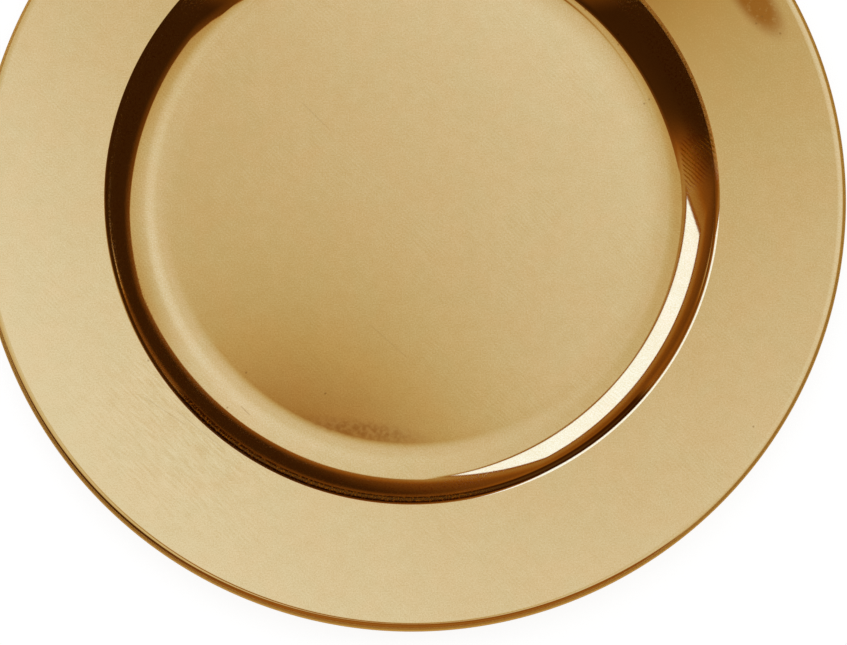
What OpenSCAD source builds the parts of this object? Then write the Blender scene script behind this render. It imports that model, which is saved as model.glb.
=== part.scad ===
// Round charger plate: one moulded body under a metallised gold face coat.
// Millimetres, +Z up, origin at the centre of the face that the foot ring rests on.
// Both pieces are revolved from outlines that run parallel to one meridian, the line of the finished face:
// floor, lead-in, corner, curved side, shoulder, crease, flange, roll, edge, drop and tip.

/* [Plate] */
// Diameter over the lip
plate_d = 330; // [300:1:360]
// Thickness of the finished wall, coat included
wall_t = 2.2; // [1.6:0.1:3]

/* [Well] */
// Diameter of the well at the crease where its shoulder meets the flange
well_d = 234.8; // [215:0.2:250]
// Depth of the floor below the crease
well_depth = 11.5; // [8:0.1:18]
// Radius of the slow lead-in from the flat floor
lead_r = 95; // [40:5:150]
// Slope at which the lead-in hands over to the corner, in degrees
lead_slope = 3; // [1:0.5:5]
// Radius of the corner between the lead-in and the side
corner_r = 14; // [8:0.5:20]
// Slope at which the corner hands over to the side, in degrees
corner_slope = 25; // [15:1:30]
// Steepest slope of the side, where the shoulder starts, in degrees
side_slope = 44.7; // [40:0.1:60]
// Radius of the shoulder that turns over the top of the side
shoulder_r = 9.5; // [6:0.1:12]
// Slope at which the shoulder reaches the crease, in degrees
crease_slope = 31.5; // [20:0.5:35]
// Radius that breaks the edge of the crease
crease_r = 0.5; // [0.4:0.1:1.5]

/* [Flange and lip] */
// Slope of the flange, rising outward, in degrees
flange_slope = 5; // [2:0.5:10]
// Radius of the soft roll that starts the lip
roll_r = 6; // [4:0.5:12]
// Downward slope at which the roll hands over to the lip's edge, in degrees
roll_slope = 22; // [15:1:45]
// Radius of the lip's edge
edge_r = 1.2; // [1.2:0.1:3]
// Straight drop of the lip below its edge
lip_drop = 0.4; // [0.2:0.1:3]

/* [Foot ring] */
// Height of the foot ring below the underside of the floor
foot_h = 2.6; // [1.5:0.1:5]
// Width of the foot ring where it leaves the floor
foot_w = 3.2; // [2.8:0.1:6]
// Draft of the foot ring's sides, in degrees
foot_draft = 5; // [1:1:8]
// Radius on the foot ring's lower edges
foot_r = 0.5; // [0.3:0.1:0.8]
// Distance of the foot ring inside the edge of the flat floor
foot_inset = 1; // [0.5:0.5:10]

/* [Face coat] */
// Thickness of the gold coat
coat_t = 0.25; // [0.15:0.05:0.35]

/* [Moulding marks] */
// Diameter of the recess round the gate at the centre of the underside
gate_d = 14; // [8:1:24]
// Depth of that recess
gate_depth = 0.6; // [0.4:0.1:0.9]
// Diameter of the gate's stub in the recess
stub_d = 3; // [2:0.5:6]
// Height of the stub, less than the depth of its recess
stub_h = 0.3; // [0.1:0.1:0.3]
// Number of ejector pin marks round the underside of the floor
pin_count = 8; // [4:1:16]
// Diameter of an ejector pin mark
pin_d = 8; // [5:0.5:12]
// Depth of an ejector pin mark
pin_depth = 0.2; // [0.1:0.1:0.4]
// Radius of the circle that the pin marks stand on
pin_circle_r = 62; // [25:1:68]

/* [Hidden] */

face_color = [0.83, 0.70, 0.45];
back_color = [0.70, 0.56, 0.31];

$fn = 144;
overrun = 0.1;
// How far the middle of a facet may lie off a true arc in an outline
arc_sag = 0.01;

// Unit vector along a line at an angle, and the one square to it on its upper side
function along(angle) = [cos(angle), sin(angle)];
function above(angle) = [-sin(angle), cos(angle)];

// Points along an arc between two directions seen from its centre
function arc_steps(r, span) = max(2, ceil(span / (2 * acos(1 - arc_sag / max(r, 2 * arc_sag)))));
function arc(centre, r, from, to) =
    let (steps = arc_steps(r, abs(to - from)))
    [for (i = [0 : steps]) centre + r * along(from + (to - from) * i / steps)];

// Rise and run of an arc of the meridian, from its radius and the slopes at its two ends
function arc_rise(r, a, b) = r * abs(cos(a) - cos(b));
function arc_run(r, a, b) = r * abs(sin(a) - sin(b));

function backwards(points) = [for (i = [len(points) - 1 : -1 : 0]) points[i]];

// Heights of the two faces of the floor
floor_under_z = foot_h;
floor_z = floor_under_z + wall_t;

// The shoulder and the broken edge of the crease together
crest_rise = arc_rise(shoulder_r, side_slope, crease_slope) + arc_rise(crease_r, crease_slope, flange_slope);
crest_run = arc_run(shoulder_r, side_slope, crease_slope) + arc_run(crease_r, crease_slope, flange_slope);

// The side is one slow arc that climbs what the lead-in, the corner and the shoulder leave of the depth
foot_rise = arc_rise(lead_r, 0, lead_slope) + arc_rise(corner_r, lead_slope, corner_slope);
foot_run = arc_run(lead_r, 0, lead_slope) + arc_run(corner_r, lead_slope, corner_slope);
side_r = (well_depth - crest_rise - foot_rise) / (cos(corner_slope) - cos(side_slope));
floor_r = well_d / 2 - crest_run - arc_run(side_r, corner_slope, side_slope) - foot_run;

// The flange runs from the crease to the start of the roll
lip_run = arc_run(roll_r, flange_slope, -roll_slope) + arc_run(edge_r, -roll_slope, -90);
flange_len = (plate_d / 2 - well_d / 2 - lip_run) / cos(flange_slope);

// The lip ends in a half round as thick as the wall
tip_r = wall_t / 2;

// Places along the meridian where one stretch hands over to the next, and the centres of its arcs
lead_centre = [floor_r, floor_z + lead_r];
corner_centre = lead_centre - (lead_r - corner_r) * above(lead_slope);
side_centre = corner_centre + (side_r - corner_r) * above(corner_slope);
shoulder_centre = side_centre - (side_r + shoulder_r) * above(side_slope);
crease_centre = shoulder_centre + (shoulder_r - crease_r) * above(crease_slope);
flange_start = crease_centre + crease_r * above(flange_slope);
flange_end = flange_start + flange_len * along(flange_slope);
roll_centre = flange_end - roll_r * above(flange_slope);
edge_centre = roll_centre + (roll_r - edge_r) * above(-roll_slope);
tip_centre = edge_centre + [edge_r - tip_r, -lip_drop];

// The underside has sharp corners where the wall is thicker than the face's radius.
// Below the crease, the shoulder's underside meets the flange's underside in one.
shoulder_under_r = shoulder_r - wall_t;
crease_corner_h = (flange_start - shoulder_centre) * above(flange_slope) - wall_t;
crease_corner_dir = flange_slope + 180 - asin(crease_corner_h / shoulder_under_r);
// Inside the lip, the roll's underside meets the inner side of the drop in another.
roll_under_r = roll_r - wall_t;
lip_corner_w = tip_centre[0] - tip_r - roll_centre[0];
lip_corner_dir = acos(lip_corner_w / roll_under_r);

// Foot ring, with its place taken from the edge of the flat floor
foot_mean_r = floor_r - foot_inset - foot_w / 2;

// Line parallel to the finished face, at a depth below it, from the axis to the lowest point of the lip
function face_line(depth) = concat(
    [[0, floor_z - depth]],
    arc(lead_centre, lead_r + depth, -90, lead_slope - 90),
    arc(corner_centre, corner_r + depth, lead_slope - 90, corner_slope - 90),
    arc(side_centre, side_r + depth, corner_slope - 90, side_slope - 90),
    arc(shoulder_centre, shoulder_r - depth, 90 + side_slope, 90 + crease_slope),
    arc(crease_centre, crease_r - depth, 90 + crease_slope, 90 + flange_slope),
    arc(roll_centre, roll_r - depth, 90 + flange_slope, 90 - roll_slope),
    arc(edge_centre, edge_r - depth, 90 - roll_slope, 0),
    arc(tip_centre, tip_r - depth, 0, -90)
);

// Underside of the wall, from the lowest point of the lip back to the edge of the flat floor
function wall_underside() = concat(
    arc(tip_centre, tip_r, -90, -180),
    arc(roll_centre, roll_under_r, lip_corner_dir, 90 + flange_slope),
    arc(shoulder_centre, shoulder_under_r, crease_corner_dir, 90 + side_slope),
    arc(side_centre, side_r + wall_t, side_slope - 90, corner_slope - 90),
    arc(corner_centre, corner_r + wall_t, corner_slope - 90, lead_slope - 90),
    arc(lead_centre, lead_r + wall_t, lead_slope - 90, -90)
);

// One side of the foot ring, from the middle of its resting face up to the floor, for a hand of 1 or -1
function foot_side(hand) =
    let (
        draft_turn = foot_r * tan((90 - foot_draft) / 2),
        flat_half_w = foot_w / 2 - foot_h * tan(foot_draft) - draft_turn,
        edge = arc([flat_half_w, foot_r], foot_r, -90, -foot_draft)
    )
    [for (p = concat(edge, [[foot_w / 2, foot_h]])) [foot_mean_r + hand * p[0], p[1]]];

// Recess round the gate, from its rim in to the axis, with the stub that is left in it
gate_line = [
    [gate_d / 2, floor_under_z],
    [gate_d / 2, floor_under_z + gate_depth],
    [stub_d / 2, floor_under_z + gate_depth],
    [stub_d / 2, floor_under_z + gate_depth - stub_h],
    [0, floor_under_z + gate_depth - stub_h]
];

// Marks of the ejector pins under the floor
module pin_marks() {
    for (i = [0 : pin_count - 1])
        rotate(i * 360 / pin_count)
            translate([pin_circle_r, 0, floor_under_z - overrun])
                cylinder(d = pin_d, h = pin_depth + overrun);
}

// Moulded plate: floor, side, flange, lip and foot ring in one wall
module plate_body() {
    color(back_color) difference() {
        rotate_extrude() polygon(concat(
            face_line(coat_t), wall_underside(), backwards(foot_side(1)), foot_side(-1), gate_line
        ));
        pin_marks();
    }
}

// Gold coat over the whole face, round the lip and down to its lowest point
module gold_face_coat() {
    color(face_color) rotate_extrude() polygon(concat(face_line(0), backwards(face_line(coat_t))));
}

plate_body();
gold_face_coat();
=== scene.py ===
# Looks of a round charger plate: mirror gold on its face, satin gold on its moulded back.
# Metres, +Z up, origin at the centre of the face that the foot ring rests on.
# Both pieces are turned from the same meridian as the solids, with a true normal at every corner of
# every face, so that the polished face mirrors the studio as the real curves do.

from math import acos, asin, cos, pi, radians, sin, tan

import bpy
from mathutils import Matrix, Vector
from mathutils.geometry import delaunay_2d_cdt


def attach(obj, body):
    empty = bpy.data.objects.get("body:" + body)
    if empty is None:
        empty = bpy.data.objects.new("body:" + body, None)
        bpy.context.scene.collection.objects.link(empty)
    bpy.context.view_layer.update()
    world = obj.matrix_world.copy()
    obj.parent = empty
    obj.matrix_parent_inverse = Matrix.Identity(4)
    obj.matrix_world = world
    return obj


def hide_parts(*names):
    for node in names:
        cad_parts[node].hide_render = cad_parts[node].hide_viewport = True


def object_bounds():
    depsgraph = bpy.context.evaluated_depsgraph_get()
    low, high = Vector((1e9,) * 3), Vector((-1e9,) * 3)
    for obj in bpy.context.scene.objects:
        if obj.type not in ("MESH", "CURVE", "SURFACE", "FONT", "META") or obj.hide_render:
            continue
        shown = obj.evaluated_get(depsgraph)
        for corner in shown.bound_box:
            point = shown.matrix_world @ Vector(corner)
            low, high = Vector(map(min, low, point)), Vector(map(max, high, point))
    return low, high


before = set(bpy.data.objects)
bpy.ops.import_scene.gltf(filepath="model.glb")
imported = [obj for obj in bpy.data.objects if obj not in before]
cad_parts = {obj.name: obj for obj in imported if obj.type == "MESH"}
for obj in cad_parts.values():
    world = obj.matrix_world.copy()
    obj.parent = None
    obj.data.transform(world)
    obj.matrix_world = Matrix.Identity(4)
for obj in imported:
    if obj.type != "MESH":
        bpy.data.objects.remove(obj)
cad_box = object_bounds()

MM = 0.001

# Sizes of the plate, as in the solids

PLATE_R = 165 * MM
WALL = 2.2 * MM
COAT = 0.25 * MM

WELL_R = 117.4 * MM
WELL_DEPTH = 11.5 * MM
LEAD_R = 95 * MM
LEAD_SLOPE = 3
CORNER_R = 14 * MM
CORNER_SLOPE = 25
SIDE_SLOPE = 44.7
SHOULDER_R = 9.5 * MM
CREASE_SLOPE = 31.5
CREASE_R = 0.5 * MM

FLANGE_SLOPE = 5
ROLL_R = 6 * MM
ROLL_SLOPE = 22
EDGE_R = 1.2 * MM
LIP_DROP = 0.4 * MM

FOOT_H = 2.6 * MM
FOOT_W = 3.2 * MM
FOOT_DRAFT = 5
FOOT_R = 0.5 * MM
FOOT_INSET = 1 * MM

GATE_R = 7 * MM
GATE_DEPTH = 0.6 * MM
STUB_R = 1.5 * MM
STUB_H = 0.3 * MM
PIN_COUNT = 8
PIN_R = 4 * MM
PIN_DEPTH = 0.2 * MM
PIN_CIRCLE_R = 62 * MM

# Camera of the photograph

CAMERA_DISTANCE = 1.4
CAMERA_TILT = 8.5
CAMERA_LENS = 156.67
SENSOR_WIDTH = 36
# The point of the rim's plane in the middle of the photograph, from the plate's axis
AIM_X = 4.4 * MM
AIM_Y = -48.5 * MM

# Meshes

# Corners round the plate, and round the mark of an ejector pin
TURNS = 576
PIN_TURNS = 64
# Degrees between the points of an arc, and the fewest steps of a short one
ARC_STEP = 1.0
FEWEST_STEPS = 6
# Length between the points of a straight stretch
LINE_STEP = 9 * MM
# A length that counts as nothing
NOTHING = 1e-9


def along(angle):
    """Unit vector at an angle in degrees."""
    return Vector((cos(radians(angle)), sin(radians(angle))))


def above(angle):
    """Unit vector square to along(angle), on its upper side."""
    return Vector((-sin(radians(angle)), cos(radians(angle))))


def arc(centre, radius, start, end, outward=1):
    """Points of an arc with their normals, which point from the centre, or to it where outward is -1."""
    steps = max(FEWEST_STEPS, round(abs(end - start) / ARC_STEP))
    angles = [start + (end - start) * i / steps for i in range(steps + 1)]
    return [(centre + radius * along(a), outward * along(a)) for a in angles]


def line(start, end, normal):
    """Points of a straight stretch with its normal."""
    steps = max(1, round((end - start).length / LINE_STEP))
    return [(start.lerp(end, i / steps), normal) for i in range(steps + 1)]


def rise(radius, a, b):
    """Rise of an arc between two slopes."""
    return radius * abs(cos(radians(a)) - cos(radians(b)))


def run(radius, a, b):
    """Run of an arc between two slopes."""
    return radius * abs(sin(radians(a)) - sin(radians(b)))


FLOOR_Z = FOOT_H + WALL
CREST_RISE = rise(SHOULDER_R, SIDE_SLOPE, CREASE_SLOPE) + rise(CREASE_R, CREASE_SLOPE, FLANGE_SLOPE)
CREST_RUN = run(SHOULDER_R, SIDE_SLOPE, CREASE_SLOPE) + run(CREASE_R, CREASE_SLOPE, FLANGE_SLOPE)
CORNER_RISE = rise(LEAD_R, 0, LEAD_SLOPE) + rise(CORNER_R, LEAD_SLOPE, CORNER_SLOPE)
CORNER_RUN = run(LEAD_R, 0, LEAD_SLOPE) + run(CORNER_R, LEAD_SLOPE, CORNER_SLOPE)
SIDE_R = (WELL_DEPTH - CREST_RISE - CORNER_RISE) / (cos(radians(CORNER_SLOPE)) - cos(radians(SIDE_SLOPE)))
FLOOR_R = WELL_R - CREST_RUN - run(SIDE_R, CORNER_SLOPE, SIDE_SLOPE) - CORNER_RUN
LIP_RUN = run(ROLL_R, FLANGE_SLOPE, -ROLL_SLOPE) + run(EDGE_R, -ROLL_SLOPE, -90)
FLANGE_LEN = (PLATE_R - WELL_R - LIP_RUN) / cos(radians(FLANGE_SLOPE))
TIP_R = WALL / 2

lead_centre = Vector((FLOOR_R, FLOOR_Z + LEAD_R))
corner_centre = lead_centre - (LEAD_R - CORNER_R) * above(LEAD_SLOPE)
side_centre = corner_centre + (SIDE_R - CORNER_R) * above(CORNER_SLOPE)
shoulder_centre = side_centre - (SIDE_R + SHOULDER_R) * above(SIDE_SLOPE)
crease_centre = shoulder_centre + (SHOULDER_R - CREASE_R) * above(CREASE_SLOPE)
flange_start = crease_centre + CREASE_R * above(FLANGE_SLOPE)
flange_end = flange_start + FLANGE_LEN * along(FLANGE_SLOPE)
roll_centre = flange_end - ROLL_R * above(FLANGE_SLOPE)
edge_centre = roll_centre + (ROLL_R - EDGE_R) * above(-ROLL_SLOPE)
tip_centre = edge_centre + Vector((EDGE_R - TIP_R, -LIP_DROP))

shoulder_under_r = SHOULDER_R - WALL
crease_corner_h = (flange_start - shoulder_centre).dot(above(FLANGE_SLOPE)) - WALL
crease_corner = FLANGE_SLOPE + 180 - asin(crease_corner_h / shoulder_under_r) * 180 / pi
roll_under_r = ROLL_R - WALL
lip_corner = acos((tip_centre.x - TIP_R - roll_centre.x) / roll_under_r) * 180 / pi
foot_mean_r = FLOOR_R - FOOT_INSET - FOOT_W / 2


def face_line(depth):
    """The line parallel to the finished face at a depth below it, from the axis to the lip's lowest point."""
    lead = arc(lead_centre, LEAD_R + depth, -90, LEAD_SLOPE - 90, -1)
    corner = arc(corner_centre, CORNER_R + depth, LEAD_SLOPE - 90, CORNER_SLOPE - 90, -1)
    side = arc(side_centre, SIDE_R + depth, CORNER_SLOPE - 90, SIDE_SLOPE - 90, -1)
    shoulder = arc(shoulder_centre, SHOULDER_R - depth, 90 + SIDE_SLOPE, 90 + CREASE_SLOPE)
    crease = arc(crease_centre, CREASE_R - depth, 90 + CREASE_SLOPE, 90 + FLANGE_SLOPE)
    roll = arc(roll_centre, ROLL_R - depth, 90 + FLANGE_SLOPE, 90 - ROLL_SLOPE)
    edge = arc(edge_centre, EDGE_R - depth, 90 - ROLL_SLOPE, 0)
    tip = arc(tip_centre, TIP_R - depth, 0, -90)
    return [
        line(Vector((0, FLOOR_Z - depth)), lead[0][0], above(0)),
        lead,
        corner,
        side,
        shoulder,
        crease,
        line(crease[-1][0], roll[0][0], above(FLANGE_SLOPE)),
        roll,
        edge,
        line(edge[-1][0], tip[0][0], along(0)),
        tip,
    ]


def reversed_line(stretches):
    """The same line run the other way, as the far side of a shell, so its normals turn round too."""
    return [[(point, -normal) for point, normal in reversed(s)] for s in reversed(stretches)]


def wall_underside():
    """Underside of the wall, from the lip's lowest point back to the edge of the flat floor."""
    inner_tip = arc(tip_centre, TIP_R, -90, -180)
    roll = arc(roll_centre, roll_under_r, lip_corner, 90 + FLANGE_SLOPE, -1)
    shoulder = arc(shoulder_centre, shoulder_under_r, crease_corner, 90 + SIDE_SLOPE, -1)
    side = arc(side_centre, SIDE_R + WALL, SIDE_SLOPE - 90, CORNER_SLOPE - 90)
    corner = arc(corner_centre, CORNER_R + WALL, CORNER_SLOPE - 90, LEAD_SLOPE - 90)
    lead = arc(lead_centre, LEAD_R + WALL, LEAD_SLOPE - 90, -90)
    return [
        inner_tip,
        line(inner_tip[-1][0], roll[0][0], along(180)),
        roll,
        line(roll[-1][0], shoulder[0][0], -above(FLANGE_SLOPE)),
        shoulder,
        side,
        corner,
        lead,
    ]


def foot_ring():
    """Foot ring, from its outer root under the floor round to its inner root."""
    draft_turn = FOOT_R * tan(radians((90 - FOOT_DRAFT) / 2))
    flat_half_w = FOOT_W / 2 - FOOT_H * tan(radians(FOOT_DRAFT)) - draft_turn
    outer_centre = Vector((foot_mean_r + flat_half_w, FOOT_R))
    inner_centre = Vector((foot_mean_r - flat_half_w, FOOT_R))
    outer_edge = arc(outer_centre, FOOT_R, -FOOT_DRAFT, -90)
    inner_edge = arc(inner_centre, FOOT_R, -90, FOOT_DRAFT - 180)
    outer_root = Vector((foot_mean_r + FOOT_W / 2, FOOT_H))
    inner_root = Vector((foot_mean_r - FOOT_W / 2, FOOT_H))
    return [
        line(Vector((FLOOR_R, FOOT_H)), outer_root, along(-90)),
        line(outer_root, outer_edge[0][0], along(-FOOT_DRAFT)),
        outer_edge,
        line(outer_edge[-1][0], inner_edge[0][0], along(-90)),
        inner_edge,
        line(inner_edge[-1][0], inner_root, along(FOOT_DRAFT - 180)),
    ]


def gate():
    """Recess round the gate, from its rim in to the axis, with the stub left in it."""
    rim = Vector((GATE_R, FOOT_H))
    recess = Vector((GATE_R, FOOT_H + GATE_DEPTH))
    stub_root = Vector((STUB_R, FOOT_H + GATE_DEPTH))
    stub_end = Vector((STUB_R, FOOT_H + GATE_DEPTH - STUB_H))
    axis = Vector((0, FOOT_H + GATE_DEPTH - STUB_H))
    return [
        line(rim, recess, along(180)),
        line(recess, stub_root, along(-90)),
        line(stub_root, stub_end, along(0)),
        line(stub_end, axis, along(-90)),
    ]


class Shell:
    """A mesh in the making: its points, its faces, and a normal for each corner of each face."""

    def __init__(self):
        self.points = []
        self.faces = []
        self.normals = []

    def ring(self, r, z, x=0, y=0, turns=TURNS):
        """Adds a ring of points round a vertical axis, or one point where its radius is nothing."""
        first = len(self.points)
        if r < NOTHING:
            self.points.append((x, y, z))
            return [first] * turns
        for i in range(turns):
            angle = 2 * pi * i / turns
            self.points.append((x + r * cos(angle), y + r * sin(angle), z))
        return list(range(first, first + turns))

    def face(self, corners, normals):
        """Adds a face, without the corners that fall together on the axis."""
        kept = [i for i, c in enumerate(corners) if c != corners[i - 1]]
        self.faces.append([corners[i] for i in kept])
        self.normals.extend(normals[i] for i in kept)

    def band(self, ring_a, ring_b, normal_a, normal_b):
        """Adds the faces between two rings, whose normals are given as (outward, upward)."""
        turns = len(ring_a)
        angles = [2 * pi * i / turns for i in range(turns + 1)]
        a, b = ([(v.x * cos(angle), v.x * sin(angle), v.y) for angle in angles] for v in (normal_a, normal_b))
        for i in range(turns):
            j = (i + 1) % turns
            corners = [ring_a[i], ring_b[i], ring_b[j], ring_a[j]]
            self.face(corners, [a[i], b[i], b[i + 1], a[i + 1]])

    def turn(self, stretches, ring=None):
        """Turns a line round the axis, from a ring that is there already or from one of its own.

        Gives back its first ring and its last.
        """
        ring = ring or self.ring(*stretches[0][0][0])
        first = ring
        for stretch in stretches:
            for (_, normal_a), (point, normal_b) in zip(stretch, stretch[1:]):
                following = self.ring(*point)
                self.band(ring, following, normal_a, normal_b)
                ring = following
        return first, ring

    def flat_under(self, outer, inner, holes):
        """Fills the flat underside between two rings, leaving the rings in it open."""
        loops = [outer, inner] + holes
        used = [i for loop in loops for i in loop]
        flat = [Vector(self.points[i][:2]) for i in used]
        edges = []
        first = 0
        for loop in loops:
            count = len(loop)
            edges += [(first + i, first + (i + 1) % count) for i in range(count)]
            first += count
        _, _, triangles, original, _, _ = delaunay_2d_cdt(flat, edges, [], 0, NOTHING)
        down = (0, 0, -1)
        for triangle in triangles:
            corners = [used[original[i][0]] for i in triangle]
            middle = sum((Vector(self.points[i][:2]) for i in corners), Vector((0, 0))) / 3
            if not any(self.inside(middle, loop) for loop in [inner] + holes):
                self.face(list(reversed(corners)), [down] * 3)

    def inside(self, place, loop):
        """Whether a place lies inside a round loop."""
        middle = sum((Vector(self.points[i][:2]) for i in loop), Vector((0, 0))) / len(loop)
        reach = (Vector(self.points[loop[0]][:2]) - middle).length
        return (place - middle).length < reach

    def finish(self, name):
        """Makes the object, with its normals as they were given."""
        mesh = bpy.data.meshes.new(name)
        mesh.from_pydata(self.points, [], self.faces)
        mesh.shade_smooth()
        mesh.normals_split_custom_set(self.normals)
        piece = bpy.data.objects.new(name, mesh)
        bpy.context.scene.collection.objects.link(piece)
        return piece


def make_gold_face():
    """The gold coat: the finished face and the hidden line under it, as one closed shell."""
    shell = Shell()
    outer, tip = shell.turn(face_line(0))
    inner = reversed_line(face_line(COAT))
    inner_start = shell.ring(*inner[0][0][0])
    shell.band(tip, inner_start, along(-90), along(-90))
    shell.turn(inner, inner_start)
    return shell.finish("gold_face")


def make_moulded_plate():
    """The moulded plate: wall, foot ring, gate recess and the marks of the ejector pins."""
    shell = Shell()
    _, ring = shell.turn(face_line(COAT))
    tip_point = wall_underside()[0][0][0]
    step_ring = shell.ring(*tip_point)
    shell.band(ring, step_ring, along(-90), along(-90))
    _, ring = shell.turn(wall_underside(), step_ring)
    _, foot_inner = shell.turn(foot_ring(), ring)
    gate_rim = shell.ring(GATE_R, FOOT_H)
    shell.turn(gate(), gate_rim)
    pins = []
    for i in range(PIN_COUNT):
        angle = 2 * pi * i / PIN_COUNT
        place = (PIN_CIRCLE_R * cos(angle), PIN_CIRCLE_R * sin(angle))
        rim = shell.ring(PIN_R, FOOT_H, *place, PIN_TURNS)
        top = shell.ring(PIN_R, FOOT_H + PIN_DEPTH, *place, PIN_TURNS)
        middle = shell.ring(0, FOOT_H + PIN_DEPTH, *place, PIN_TURNS)
        shell.band(rim, top, along(180), along(180))
        shell.band(top, middle, along(-90), along(-90))
        pins.append(rim)
    shell.flat_under(foot_inner, gate_rim, pins)
    return shell.finish("moulded_plate")


gold_face = make_gold_face()
moulded_plate = make_moulded_plate()

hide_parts("gold_face_coat")
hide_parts("plate_body")
for piece in (gold_face, moulded_plate):
    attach(piece, "root")

# Node helpers


class Nodes:
    """Short ways to add and join nodes in one tree."""

    def __init__(self, tree):
        self.tree = tree
        tree.nodes.clear()

    def add(self, kind, **settings):
        """Adds a node with its settings."""
        node = self.tree.nodes.new(kind)
        for name, value in settings.items():
            setattr(node, name, value)
        return node

    def put(self, socket, value):
        """Joins a socket to an output, or writes a plain value on it."""
        if isinstance(value, bpy.types.NodeSocket):
            self.tree.links.new(value, socket)
        else:
            socket.default_value = value

    def math(self, operation, a, b=None):
        """A number worked out from one or two others."""
        node = self.add("ShaderNodeMath", operation=operation)
        self.put(node.inputs[0], a)
        if b is not None:
            self.put(node.inputs[1], b)
        return node.outputs[0]

    def plus(self, *terms):
        """The sum of its terms."""
        total = terms[0]
        for term in terms[1:]:
            total = self.math("ADD", total, term)
        return total

    def times(self, *terms):
        """The product of its terms."""
        total = terms[0]
        for term in terms[1:]:
            total = self.math("MULTIPLY", total, term)
        return total

    def vector(self, operation, a, b=None):
        """A vector, or a number for a product or a length, worked out from one or two vectors."""
        node = self.add("ShaderNodeVectorMath", operation=operation)
        self.put(node.inputs[0], a)
        if b is not None:
            self.put(node.inputs[1], b)
        scalar = operation in ("DOT_PRODUCT", "LENGTH", "DISTANCE")
        return node.outputs["Value" if scalar else "Vector"]

    def parts(self, vector):
        """The three parts of a vector."""
        node = self.add("ShaderNodeSeparateXYZ")
        self.put(node.inputs[0], vector)
        return node.outputs

    def flat(self, x, y):
        """A vector without height."""
        node = self.add("ShaderNodeCombineXYZ")
        self.put(node.inputs["X"], x)
        self.put(node.inputs["Y"], y)
        return node.outputs[0]

    def ease(self, value, low, high, to_low=0.0, to_high=1.0, kind="SMOOTHSTEP"):
        """Goes from to_low to to_high while value goes from low to high, smoothly or in a straight line."""
        node = self.add("ShaderNodeMapRange", interpolation_type=kind)
        self.put(node.inputs["Value"], value)
        for name, number in zip(("From Min", "From Max", "To Min", "To Max"), (low, high, to_low, to_high)):
            node.inputs[name].default_value = number
        return node.outputs["Result"]

    def mix(self, factor, a, b, blend="MIX"):
        """Mixes two colours, or two numbers where a is a number."""
        kind = "FLOAT" if isinstance(a, (int, float)) or getattr(a, "type", "") == "VALUE" else "RGBA"
        node = self.add("ShaderNodeMix", data_type=kind, blend_type=blend)
        sockets = [s for s in node.inputs if s.enabled]
        for socket, value in zip(sockets, (factor, a, b)):
            self.put(socket, value)
        return [s for s in node.outputs if s.enabled][0]

    def tint(self, color, by):
        """One colour times another."""
        return self.mix(1.0, color, by, "MULTIPLY")

    def noise(self, place, size, detail=2.0, roughness=0.5, distortion=0.0):
        """Noise between 0 and 1 with features of about that size, in metres."""
        node = self.add("ShaderNodeTexNoise")
        self.put(node.inputs["Vector"], place)
        node.inputs["Scale"].default_value = 1 / size
        node.inputs["Detail"].default_value = detail
        node.inputs["Roughness"].default_value = roughness
        node.inputs["Distortion"].default_value = distortion
        return node.outputs["Fac"]

    def ramp(self, value, stops):
        """A colour for each value, from a list of (value, colour)."""
        node = self.add("ShaderNodeValToRGB")
        self.put(node.inputs["Fac"], value)
        elements = node.color_ramp.elements
        while len(elements) < len(stops):
            elements.new(0.5)
        for element, (position, color) in zip(elements, stops):
            element.position = position
            element.color = (*color, 1)
        return node.outputs["Color"]


def rgba(color):
    """A colour with nothing see-through about it."""
    return (*color, 1)


def new_material(name):
    """A new material and its nodes."""
    material = bpy.data.materials.new(name)
    material.use_nodes = True
    return material, Nodes(material.node_tree)


def new_surface(name, metallic):
    """A new material, its nodes and its shader."""
    material, n = new_material(name)
    output = n.add("ShaderNodeOutputMaterial")
    shader = n.add("ShaderNodeBsdfPrincipled")
    n.put(output.inputs["Surface"], shader.outputs["BSDF"])
    shader.inputs["Metallic"].default_value = metallic
    return material, n, shader


def add_relief(n, shader, height):
    """Gives a shader a relief, whose height is in metres."""
    bump = n.add("ShaderNodeBump")
    bump.inputs["Strength"].default_value = 1.0
    bump.inputs["Distance"].default_value = 1.0
    n.put(bump.inputs["Height"], height)
    n.put(shader.inputs["Normal"], bump.outputs["Normal"])


# Gold face

# The gold, and the same gold a little deeper and paler, for the clouds and for the painted paler light on the
# outer flange
GOLD = (0.74, 0.575, 0.30)
DEEP_GOLD = (0.694, 0.520, 0.250)
PALE_GOLD = (0.880, 0.760, 0.505)
# How much paler the gold looks at the two ends, on one scale where the plain gold is nothing
DEEP_TONE = -0.05
PALE_TONE = 0.14
# Casts that the clouds lean to
PINK_CAST = (1.012, 0.992, 0.985)
GREEN_CAST = (0.990, 1.006, 1.010)
# Where the gold is darker and duller in a mottled place, smudged, or painted in shade on the steepest ring
# next to the crease
DULL_GOLD = (0.44, 0.215, 0.04)
SMUDGED_GOLD = (0.39, 0.15, 0.008)
SHADED_GOLD = (0.09, 0.035, 0.006)
# Painted shade on the edge of the lip, then the gold where the side or the crease is worn, and in nibs and
# scratches
EDGE_SHADE_GOLD = (0.62, 0.34, 0.045)
WORN_GOLD = (0.50, 0.22, 0.012)
CREASE_GOLD = (0.95, 0.52, 0.11)
MARKED_GOLD = (0.30, 0.17, 0.06)
# How the tinted lacquer changes the gold where it is looked through at a slant
SLANT_TINT = (0.77, 0.65, 0.35)

# Roughness at its best polish and in duller clouds, and how much the dull and the wiped place add
POLISH = 0.03
CLOUDED_POLISH = 0.055
DULLING = 0.03
# Roughness of worn marks and of the lip's edge
WORN_ROUGHNESS = 0.38
EDGE_ROUGHNESS = 0.55
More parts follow.
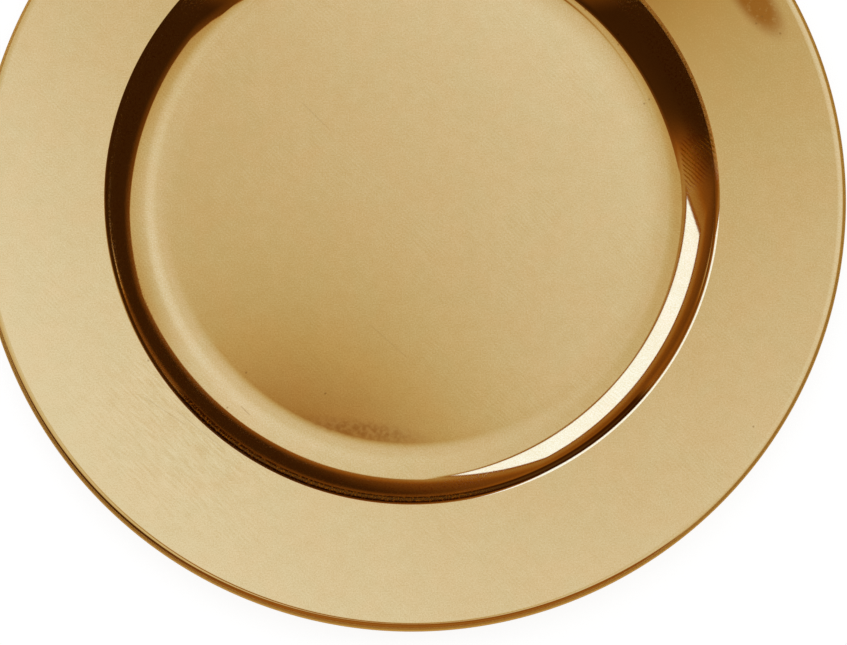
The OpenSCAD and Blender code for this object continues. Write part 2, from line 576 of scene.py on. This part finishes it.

# Painted light and shade: slow lighter and darker changes of tone over the floor and over the flange, for x
# and y
# in units of BEND_UNIT: a plain number, then the shares of x, y, x times y, x squared and y squared
FLOOR_PAINTED_SHADING = (-0.002, 0.0315, 0.0106, 0.0372, 0.0046, 0.0471)
FLANGE_PAINTED_SHADING = (-0.0405, -0.0263, -0.0523, 0.0015, 0.0369, 0.0155)
BEND_UNIT = 100 * MM

# Textures: the size of their features, then detail, roughness and distortion of the noise
CLOUDS = (24 * MM, 3, 0.55, 0.4)
MOTTLE = (5 * MM, 4, 0.7)
GRAIN = (0.55 * MM, 2, 0.7)
WANDER = (9 * MM, 2)
STROKES = (0.9 * MM, 2, 0.6)
PATCHES = (30 * MM, 2)
SMUDGE_SPOTS = (2.5 * MM, 3, 0.65)
SKIN_SPOTS = (2.2 * MM, 2, 0.6)
SPECKS = (0.8 * MM, 3, 0.6)
HUES = (15 * MM, 2, 0.5, 0.6)
HANDLING = (34 * MM, 4, 0.6, 1.0)
LACQUER_SKIN = (1.1 * MM, 2)
MOULDING_WAVES = (38 * MM, 1)
# How far each texture swings the tone
CLOUD_SWING = 0.034
MOTTLE_SWING = 0.085
GRAIN_SWING = 0.32
HATCH_SWING = 0.010
BRUSH_SWING = 0.06
WIPE_SWING = 0.20

# Directions square to the wiping marks, along them, and toward the softbox's reflection
ACROSS_MARKS = (0.70, 0.71, 0)
ALONG_MARKS = (0.71, -0.70, 0)
TO_SOFTBOX_COPY = (0.82, -0.57, 0)
# From one mark to the next, how far they wander, and a stroke's width as a share of its length
MARK_PITCH = 1.3 * MM
MARK_WANDER = 1.6 * MM
STROKE_STRETCH = 0.12
# From one turning ring on the outer flange to the next
TURNING_PITCH = 1.7 * MM

# Heights of the relief: lacquer skin, wiping marks, waves of the moulding, dull place and turning rings
SKIN_RELIEF = 0.45e-6
MARK_RELIEF = 0.12e-6
WAVE_RELIEF = 6e-6
DULL_RELIEF = 1.5e-6
TURNING_RELIEF = 0.12e-6

# Radii between which the floor's painted shading ends, and the flange's painted shading, the specks, the
# turning rings and the lip's painted shade begin
FLOOR_SHADING_END = (88 * MM, 95 * MM)
FLANGE_START = (110 * MM, 120 * MM)
SPECKS_START = (107.5 * MM, 109.5 * MM)
TURNING_START = (150 * MM, 158 * MM)
SHADED_EDGE_START = (163.4 * MM, 163.8 * MM)
# Rings of the face, as four radii in millimetres: where each starts, is full, begins to fade and ends
SIDE_RING = (104, 106, 116.6, 117.2)
# The steepest ring carries painted shade
STEEPEST_SHADE_RING = (113.7, 114.3, 116.2, 116.6)
CREASE_RING = (115.7, 116.3, 117.2, 117.4)
# Round places on the face, in millimetres: middle, the radius that is full and the one where it ends
WIPED_PLACE = ((-84, -90), 22, 48)
HATCHED_PLACE = ((111, 14), 6, 15)
# Oval places: middle, half length and half width in millimetres, and turn in degrees
SMUDGE_OVAL = ((130.6, 75.8), (18.5, 7.2), -53)
DULL_OVAL = ((-18, -88), (22, 3.6), -9)

# Small nibs in the lacquer, in millimetres from the plate's axis
NIBS = [
    (133.8, 69.3), (131.5, 66.7), (140.6, 62.7), (91.3, 39.7), (89.4, 38.1), (79.5, 61.1), (79.5, 64.9),
    (66.9, 74.8), (128.8, -87.9), (-63.2, -66.0), (-70.2, -79.7), (-33.0, -74.0), (-99.8, -62.6),
]
# Fine scratches: two ends each, in millimetres, and how dark
SCRATCHES = [
    ((-17.8, -46.0), (-0.6, -61.3), 0.4),
    ((-65.4, -78.7), (-61.5, -82.6), 1.0),
    ((-43.0, 39.2), (-31.4, 27.6), 0.5),
    ((-102.0, -76.0), (-84.0, -88.0), 0.5),
    ((-91.0, -80.0), (-70.0, -97.0), 0.5),
]
# The radii in millimetres where a nib is full and where it ends
NIB_REACH = (0.15, 0.6)
SCRATCH_WIDTH = 0.35 * MM


def bend(n, a, b, shares):
    """A slow change across the plate: a sum of two places, their product and their squares."""
    base, a1, b1, ab, a2, b2 = shares
    return n.plus(
        base, n.times(a, a1), n.times(b, b1), n.times(a, b, ab), n.times(a, a, a2), n.times(b, b, b2)
    )


def swing(n, noise, size):
    """A noise between 0 and 1 as a swing to both sides of nothing."""
    return n.times(n.plus(noise, -0.5), size)


def in_ring(n, radius, ring):
    """1 in a ring of the face with soft edges, and 0 outside it."""
    start, full, fade, end = (r * MM for r in ring)
    return n.times(n.ease(radius, start, full), n.ease(radius, fade, end, 1, 0))


def in_round(n, flat, middle, full, end):
    """1 in a round place of the face with a soft edge, and 0 outside it."""
    away = n.vector("DISTANCE", flat, (middle[0] * MM, middle[1] * MM, 0))
    return n.ease(away, full * MM, end * MM, 1, 0)


def from_oval(n, flat, oval):
    """How far a place lies from the middle of an oval, which is 1 on its line."""
    middle, halves, turn = oval
    mapping = n.add("ShaderNodeMapping", vector_type="TEXTURE")
    n.put(mapping.inputs["Vector"], flat)
    mapping.inputs["Location"].default_value = (middle[0] * MM, middle[1] * MM, 0)
    mapping.inputs["Rotation"].default_value = (0, 0, radians(turn))
    mapping.inputs["Scale"].default_value = (halves[0] * MM, halves[1] * MM, 1)
    return n.vector("LENGTH", mapping.outputs[0])


def scratch(n, flat, start, end, width):
    """How much of a fine scratch lies under a place."""
    start, end = Vector(start) * MM, Vector(end) * MM
    run_of_it = (end - start).normalized()
    middle = (start + end) / 2
    from_middle = n.vector("SUBTRACT", flat, (middle.x, middle.y, 0))
    lengthwise = n.math("ABSOLUTE", n.vector("DOT_PRODUCT", from_middle, (run_of_it.x, run_of_it.y, 0)))
    across = n.math("ABSOLUTE", n.vector("DOT_PRODUCT", from_middle, (-run_of_it.y, run_of_it.x, 0)))
    reach = (end - start).length / 2
    return n.times(n.ease(across, 0.3 * width, width, 1, 0), n.ease(lengthwise, 0.7 * reach, reach, 1, 0))


def paint_gold_face(piece):
    """Mirror gold with painted light and shade in slow changes of tone, with clouds, grain, marks and wear,
    and painted shade on the steepest ring and the lip's edge.
    """
    material, n, shader = new_surface("mirror_gold", 1.0)
    place = n.add("ShaderNodeTexCoord").outputs["Object"]
    x, y, _ = n.parts(place)
    flat = n.flat(x, y)
    radius = n.vector("LENGTH", flat)

    # Painted light and shade: slow lighter and darker changes over the floor and over the flange, which is
    # painted paler outward and to one side
    a, b = n.times(x, 1 / BEND_UNIT), n.times(y, 1 / BEND_UNIT)
    on_floor = n.ease(radius, *FLOOR_SHADING_END, 1, 0)
    on_flange = n.ease(radius, *FLANGE_START)
    tone = n.plus(
        n.times(bend(n, a, b, FLOOR_PAINTED_SHADING), on_floor), n.times(bend(n, a, b, FLANGE_PAINTED_SHADING), on_flange)
    )

    # Clouds of two sizes, fine grain, and faint slanting marks in patches
    clouds = swing(n, n.noise(flat, *CLOUDS), CLOUD_SWING)
    mottle = swing(n, n.noise(flat, *MOTTLE), MOTTLE_SWING)
    grain = swing(n, n.noise(flat, *GRAIN), GRAIN_SWING)
    across = n.vector("DOT_PRODUCT", place, ACROSS_MARKS)
    lengthwise = n.vector("DOT_PRODUCT", place, ALONG_MARKS)
    wander = n.times(n.noise(flat, *WANDER), MARK_WANDER)
    lines = n.math("SINE", n.times(n.plus(across, wander), 2 * pi / MARK_PITCH))
    strokes = n.noise(n.flat(across, n.times(lengthwise, STROKE_STRETCH)), *STROKES)
    patches = n.ease(n.noise(flat, *PATCHES), 0.42, 0.66)
    hatch = n.times(lines, patches, HATCH_SWING)
    brushed = n.times(swing(n, strokes, BRUSH_SWING), n.plus(patches, 0.25))

    # Strokes on the flange where it was wiped, and the smudge at its far side
    wiped = n.times(in_round(n, flat, *WIPED_PLACE), on_flange)
    wipes = n.times(swing(n, strokes, WIPE_SWING), wiped)
    smudge = n.ease(from_oval(n, flat, SMUDGE_OVAL), 0.45, 1.15, 1, 0)
    smudge = n.times(smudge, n.ease(n.noise(flat, *SMUDGE_SPOTS), 0.25, 0.48, 0.5, 1))

    # A duller, darker place at the edge of the floor, mottled like the skin of an orange
    in_dull = n.ease(from_oval(n, flat, DULL_OVAL), 0.3, 1.4, 1, 0)
    skin_spots = n.noise(flat, *SKIN_SPOTS)
    dull_tone = n.times(in_dull, n.ease(skin_spots, 0.35, 0.65, 0.25, 1.0))

    # Painted shade: the steepest ring of the side on the near side is painted dark, standing for where it
    # mirrors the room twice
    steepest_painted_shade = n.times(in_ring(n, radius, STEEPEST_SHADE_RING), n.ease(y, -78 * MM, -70 * MM, 1, 0))
    # Painted shade: the edge of the lip is painted browner, standing for the dark band it mirrors, and is
    # rougher
    on_shaded_edge = n.ease(radius, *SHADED_EDGE_START)

    # Fine specks and a hatch of wear on the side, away from the softbox, and the far side of the crease
    to_softbox = n.vector("DOT_PRODUCT", flat, TO_SOFTBOX_COPY)
    on_side = n.times(in_ring(n, radius, SIDE_RING), n.ease(to_softbox, 78 * MM, 92 * MM, 1, 0))
    specks = n.ease(n.noise(flat, *SPECKS), 0.48, 0.62)
    specks = n.times(specks, on_side, n.ease(radius, *SPECKS_START))
    worn_lines = n.times(n.ease(lines, -0.1, 0.7), in_round(n, flat, *HATCHED_PLACE), on_side)
    wear = n.math("MAXIMUM", n.times(specks, 0.4), n.times(worn_lines, 0.8))
    worn_crease = n.times(
        in_ring(n, radius, CREASE_RING), n.ease(y, 2 * MM, 16 * MM), n.ease(x, 0, 30 * MM)
    )

    # Nibs and scratches
    marks = 0
    for nib in NIBS:
        marks = n.math("MAXIMUM", marks, in_round(n, flat, nib, *NIB_REACH))
    for start, end, dark in SCRATCHES:
        marks = n.math("MAXIMUM", marks, n.times(scratch(n, flat, start, end, SCRATCH_WIDTH), 0.6 * dark))

    # Colour: the tone, with its painted light and shade, picks the gold, some clouds lean to pink and some to
    # green, and the marks and the painted shade of the steepest ring and the lip's edge lie over it
    tone = n.plus(tone, clouds, mottle, grain, hatch, brushed, wipes)
    paleness = n.ease(tone, DEEP_TONE, PALE_TONE, kind="LINEAR")
    gold = n.mix(paleness, rgba(DEEP_GOLD), rgba(PALE_GOLD))
    hue = n.ease(n.noise(flat, *HUES), 0.3, 0.7)
    gold = n.tint(gold, n.mix(hue, rgba(PINK_CAST), rgba(GREEN_CAST)))
    for amount, color in (
        (n.times(dull_tone, 0.6), DULL_GOLD),
        (n.times(smudge, 0.85), SMUDGED_GOLD),
        (n.times(steepest_painted_shade, 0.95), SHADED_GOLD),
        (n.times(on_shaded_edge, 0.9), EDGE_SHADE_GOLD),
        (worn_crease, CREASE_GOLD),
        (n.ease(wear, 0, 0.5), WORN_GOLD),
        (n.times(marks, 0.55), MARKED_GOLD),
    ):
        gold = n.mix(amount, gold, rgba(color))
    slant_view = n.add("ShaderNodeLayerWeight")
    slant_view.inputs["Blend"].default_value = 0.5
    at_slant = n.ease(slant_view.outputs["Facing"], 0.42, 0.62)
    gold = n.tint(gold, n.mix(at_slant, rgba((1, 1, 1)), rgba(SLANT_TINT)))
    n.put(shader.inputs["Base Color"], gold)

    # Roughness: a high polish with duller clouds, and worn places that scatter light into dark reflections
    roughness = n.ease(n.noise(flat, *HANDLING), 0.35, 0.8, POLISH, CLOUDED_POLISH)
    roughness = n.plus(roughness, n.times(in_dull, DULLING), n.times(wiped, DULLING))
    roughness = n.mix(wear, roughness, WORN_ROUGHNESS)
    roughness = n.mix(n.math("MAXIMUM", on_shaded_edge, n.times(worn_crease, 0.8)), roughness, EDGE_ROUGHNESS)
    n.put(shader.inputs["Roughness"], roughness)

    # Relief: lacquer skin, wiping marks, slow waves of the moulding, the dull place and turning rings
    turning = n.math("SINE", n.times(radius, 2 * pi / TURNING_PITCH))
    height = n.plus(
        n.times(n.noise(flat, *LACQUER_SKIN), SKIN_RELIEF),
        n.times(lines, patches, MARK_RELIEF),
        n.times(n.noise(flat, *MOULDING_WAVES), WAVE_RELIEF),
        n.times(skin_spots, in_dull, DULL_RELIEF),
        n.times(turning, n.ease(radius, *TURNING_START), TURNING_RELIEF),
    )
    add_relief(n, shader, height)
    piece.data.materials.append(material)


# Moulded back

BACK_COLORS = ((0.63, 0.465, 0.235), (0.69, 0.53, 0.285))
BACK_ROUGHNESS = (0.30, 0.42)
BACK_CLOUDS = (30 * MM, 4, 0.6, 0.5)
SPECKLE = (0.6 * MM, 2)
RIPPLES = (5 * MM, 2)
SPECKLE_RELIEF = 3e-6
RIPPLE_RELIEF = 6e-6


def paint_moulded_plate(piece):
    """Satin gold plastic with faint clouds and a fine speckle."""
    material, n, shader = new_surface("satin_gold_back", 0.85)
    place = n.add("ShaderNodeTexCoord").outputs["Object"]
    clouds = n.noise(place, *BACK_CLOUDS)
    color = n.mix(n.ease(clouds, 0.3, 0.7), *map(rgba, BACK_COLORS))
    n.put(shader.inputs["Base Color"], color)
    speckle = n.noise(place, *SPECKLE)
    n.put(shader.inputs["Roughness"], n.ease(speckle, 0.3, 0.7, *BACK_ROUGHNESS))
    ripples = n.noise(place, *RIPPLES)
    add_relief(n, shader, n.plus(n.times(speckle, SPECKLE_RELIEF), n.times(ripples, RIPPLE_RELIEF)))
    piece.data.materials.append(material)


paint_gold_face(gold_face)
paint_moulded_plate(moulded_plate)

# Studio
# The room that the gold mirrors is all in the world: a large pale ceiling, one softbox, a backdrop behind the
# camera, and the dark warm room round them. Its directions are the parts x, y and z of a unit vector.

# What the gold shows of each level of light in the room, from its darkest to its palest
ROOM_TONES = [
    (0.00, (0.018, 0.0045, 0.0004)),
    (0.013, (0.0319, 0.0086, 0.0007)),
    (0.062, (0.156, 0.0395, 0.003)),
    (0.094, (0.235, 0.0612, 0.0035)),
    (0.166, (0.328, 0.133, 0.0176)),
    (0.308, (0.476, 0.282, 0.075)),
    (0.394, (0.546, 0.374, 0.14)),
    (0.443, (0.597, 0.422, 0.185)),
    (0.490, (0.635, 0.473, 0.223)),
    (0.532, (0.679, 0.515, 0.266)),
    (0.570, (0.704, 0.556, 0.304)),
    (0.680, (0.83, 0.675, 0.41)),
]

# Corners of the ceiling, as it would lie one metre above the plate
CEILING = [
    (2.02, 1.10), (1.55, 1.47), (1.04, 1.81), (0.55, 2.06), (-0.08, 2.27), (-0.97, 1.0), (-1.06, 0.62),
    (-1.09, 0.25), (-1.05, 0.10), (0.54, -0.45), (0.80, -0.52), (1.02, -0.53), (1.15, -0.42), (1.49, 0.0),
    (1.75, 0.37),
]
# The softbox lies where the sight has more than the given reach along each of four axes
SOFTBOX_EDGES = [
    ((-0.318, 0.063, -0.946), -0.312),
    ((0.195, 0.057, 0.979), 0.183),
    ((-0.556, -0.411, 0.722), 0.0),
    ((0.361, 0.894, 0.266), 0.0),
]
SOFTBOX_MIDDLE = (-0.668, 0.601, 0.438)
SOFTBOX_LIGHT = (1.30, 1.53, 2.18)

# Levels of light, on the scale of ROOM_TONES: the ceiling's, as a plain number and the shares of x and y,
# its darkest, the darkest of the room, and the backdrop's
CEILING_LEVEL = (0.092, -0.209, 0.219)
CEILING_DARKEST = 0.09
ROOM_LEVEL = 0.014
BACKDROP_LEVEL = 0.50
# Soft oval spots on the ceiling: middle and spread in x and y, and how much paler
CEILING_SPOTS = [
    ((0.511, 0.155), (0.564, 0.708), 0.5),
    ((0.79, 0.457), (0.15, 0.15), -0.12),
    ((-0.035, 0.045), (0.036, 0.04), -0.45),
    ((-0.01, 0.01), (0.09, 0.025), -0.10),
]
# A glow in the dark room beside the softbox, given in the same way
BESIDE_SOFTBOX = ((-0.83, 0.05), (0.07, 0.07), 0.06)
# How much of the light is left in the thin frame round the softbox
FRAME_SHADE = 0.65


def depth_past(n, sight, edges):
    """How far a direction lies past every edge, as the sine of an angle. An edge is an axis and a reach."""
    least = None
    for axis, reach in edges:
        distance = n.plus(n.vector("DOT_PRODUCT", sight, axis), -reach)
        least = distance if least is None else n.math("MINIMUM", least, distance)
    return least


def straight_edges(corners):
    """The edges of a shape, whose corners are given as they would lie one metre above the plate."""
    points = [Vector((x, y, 1)).normalized() for x, y in corners]
    middle = sum(points, Vector((0, 0, 0)))
    edges = []
    for a, b in zip(points, points[1:] + points[:1]):
        axis = a.cross(b).normalized()
        if axis.dot(middle) < 0:
            axis = -axis
        edges.append((tuple(axis), 0.0))
    return edges


def spot(n, x, y, middle, spread, paler):
    """A soft oval spot in the room, where x and y are parts of a unit direction."""
    off_x = n.times(n.plus(x, -middle[0]), 1 / spread[0])
    off_y = n.times(n.plus(y, -middle[1]), 1 / spread[1])
    away = n.plus(n.times(off_x, off_x), n.times(off_y, off_y))
    return n.times(n.math("EXPONENT", n.times(away, -0.5)), paler)


def degrees_sine(angle):
    """Sine of an angle in degrees."""
    return sin(radians(angle))


def light_studio():
    """The room that the gold mirrors, and plain white to the camera."""
    world = bpy.data.worlds.new("studio")
    bpy.context.scene.world = world
    world.use_nodes = True
    n = Nodes(world.node_tree)
    output = n.add("ShaderNodeOutputWorld")
    sight = n.vector("NORMALIZE", n.add("ShaderNodeTexCoord").outputs["Generated"])
    x, y, z = n.parts(sight)
    ceiling = depth_past(n, sight, straight_edges(CEILING))
    softbox = depth_past(n, sight, SOFTBOX_EDGES)

    # Ceiling: brightest away from the softbox, and dark round the camera and behind it
    toward_back = n.plus(n.times(y, -1.0), n.times(n.math("ABSOLUTE", x), -0.7))
    level, along_x, along_y = CEILING_LEVEL
    spots = [spot(n, x, y, *settings) for settings in CEILING_SPOTS]
    darker_back = n.ease(toward_back, 0.03, 0.08, 0, -0.5)
    pale = n.plus(level, n.times(x, along_x), n.times(y, along_y), *spots, darker_back)
    pale = n.math("MAXIMUM", pale, CEILING_DARKEST)

    # Room beyond the ceiling: brown close to its edge, round the softbox, low down and behind the camera
    near_ceiling = n.times(n.ease(ceiling, -degrees_sine(7), 0), n.plus(0.04, n.times(y, 0.03)))
    on_softbox_side = n.ease(n.vector("DOT_PRODUCT", sight, SOFTBOX_MIDDLE), 0.26, 0.7)
    near_softbox = n.plus(
        n.ease(softbox, -degrees_sine(25), -degrees_sine(3), 0, 0.06),
        n.ease(softbox, -degrees_sine(8), -degrees_sine(2), 0, 0.07),
    )
    near_softbox = n.times(near_softbox, n.ease(y, -0.15, 0.12, 0.12, 1))
    low_down = n.times(n.ease(z, 0.03, 0.12, 0.05, 0), n.ease(y, 0.2, 0.5))
    behind = n.plus(n.ease(toward_back, 0.0, 0.25, 0, 0.085), n.ease(toward_back, 0.35, 0.6, 0, 0.05))
    beside_softbox = spot(n, x, y, *BESIDE_SOFTBOX)
    round_softbox = n.times(near_softbox, on_softbox_side)
    dark = n.plus(ROOM_LEVEL, near_ceiling, round_softbox, low_down, behind, beside_softbox)

    # A pale backdrop low behind the camera, and a pale line all along the horizon but for the far side
    backdrop = n.times(n.ease(y, -0.66, -0.58, 1, 0), n.ease(z, 0.50, 0.62, 1, 0))
    horizon = n.times(n.ease(z, 0.05, 0.085, 1, 0), n.ease(y, 0.3, 0.5, 1, 0))
    dark = n.mix(n.math("MAXIMUM", backdrop, horizon), dark, BACKDROP_LEVEL)

    level = n.mix(n.ease(ceiling, -degrees_sine(0.5), degrees_sine(0.5)), dark, pale)

    # Softbox: one even white face in a thin dark frame
    frame_line = n.times(
        n.ease(softbox, -degrees_sine(1.8), -degrees_sine(1.2)),
        n.ease(softbox, -degrees_sine(0.4), 0, 1, 0),
    )
    level = n.times(level, n.ease(frame_line, 0, 1, 1, FRAME_SHADE))
    room = n.ramp(level, [(v, tuple(c / g for c, g in zip(tone, GOLD))) for v, tone in ROOM_TONES])
    in_softbox = n.ease(softbox, -degrees_sine(0.3), degrees_sine(0.3))
    seen = n.mix(in_softbox, room, rgba(SOFTBOX_LIGHT))

    path = n.add("ShaderNodeLightPath")
    background = n.add("ShaderNodeBackground")
    n.put(background.inputs["Color"], n.mix(path.outputs["Is Camera Ray"], seen, rgba((1, 1, 1))))
    n.put(output.inputs["Surface"], background.outputs[0])


# The fill light is a little blue, so that with the warm room a matt colour renders about as it is written
FILL_POWER = 35.4
FILL_COLOR = (0.73, 0.875, 1.0)
FILL_SIZE = 2.4
FILL_HEIGHT = 2.2


def add_fill_light():
    """A large soft light overhead that lights matt surfaces and casts the shadow, and isn't mirrored."""
    lamp = bpy.data.lights.new("fill", "AREA")
    lamp.shape = "DISK"
    lamp.size = FILL_SIZE
    lamp.energy = FILL_POWER
    lamp.color = FILL_COLOR
    fill = bpy.data.objects.new("fill", lamp)
    fill.location = (0, 0, FILL_HEIGHT)
    fill.visible_glossy = False
    bpy.context.scene.collection.objects.link(fill)


FLOOR_REACH = 6.0
FLOOR_GREY = (0.8, 0.8, 0.8)
# What the floor shows to the camera and in the gold: its own white, and a grey that takes the plate's shadow
FLOOR_GLOW = 0.87
SHADOW_GREY = (0.15, 0.15, 0.15)


def add_floor():
    """A pale matt floor, which is white where it is seen straight or in the gold and keeps the shadow."""
    mesh = bpy.data.meshes.new("floor")
    reach = FLOOR_REACH
    corners = [(-reach, -reach, 0), (reach, -reach, 0), (reach, reach, 0), (-reach, reach, 0)]
    mesh.from_pydata(corners, [], [(0, 1, 2, 3)])
    floor = bpy.data.objects.new("floor", mesh)
    bpy.context.scene.collection.objects.link(floor)

    material, n = new_material("pale_floor")
    output = n.add("ShaderNodeOutputMaterial")
    matt = n.add("ShaderNodeBsdfDiffuse")
    matt.inputs["Color"].default_value = rgba(FLOOR_GREY)
    glow = n.add("ShaderNodeEmission")
    glow.inputs["Strength"].default_value = FLOOR_GLOW
    shadow = n.add("ShaderNodeBsdfDiffuse")
    shadow.inputs["Color"].default_value = rgba(SHADOW_GREY)
    white = n.add("ShaderNodeAddShader")
    n.put(white.inputs[0], glow.outputs[0])
    n.put(white.inputs[1], shadow.outputs[0])
    path = n.add("ShaderNodeLightPath")
    seen = n.plus(
        path.outputs["Is Camera Ray"],
        path.outputs["Is Glossy Ray"],
        path.outputs["Is Transmission Ray"],
    )
    mixed = n.add("ShaderNodeMixShader")
    n.put(mixed.inputs[0], seen)
    n.put(mixed.inputs[1], matt.outputs[0])
    n.put(mixed.inputs[2], white.outputs[0])
    n.put(output.inputs["Surface"], mixed.outputs[0])
    floor.data.materials.append(material)


light_studio()
add_fill_light()
add_floor()

# Camera


def add_camera():
    """The camera of the photograph, which looks down on the rim's plane."""
    rim_z = cad_box[1].z
    tilt = radians(CAMERA_TILT)
    place = Vector((0, -CAMERA_DISTANCE * sin(tilt), rim_z + CAMERA_DISTANCE * cos(tilt)))
    forward = (Vector((AIM_X, AIM_Y, rim_z)) - place).normalized()
    right = forward.cross(Vector((0, 1, 0))).normalized()
    up = right.cross(forward)
    lens = bpy.data.cameras.new("camera")
    lens.lens = CAMERA_LENS
    lens.sensor_width = SENSOR_WIDTH
    lens.sensor_fit = "HORIZONTAL"
    camera = bpy.data.objects.new("camera", lens)
    camera.matrix_world = Matrix.Translation(place) @ Matrix((right, up, -forward)).transposed().to_4x4()
    bpy.context.scene.collection.objects.link(camera)
    bpy.context.scene.camera = camera


add_camera()
bpy.context.scene.view_settings.view_transform = "Standard"
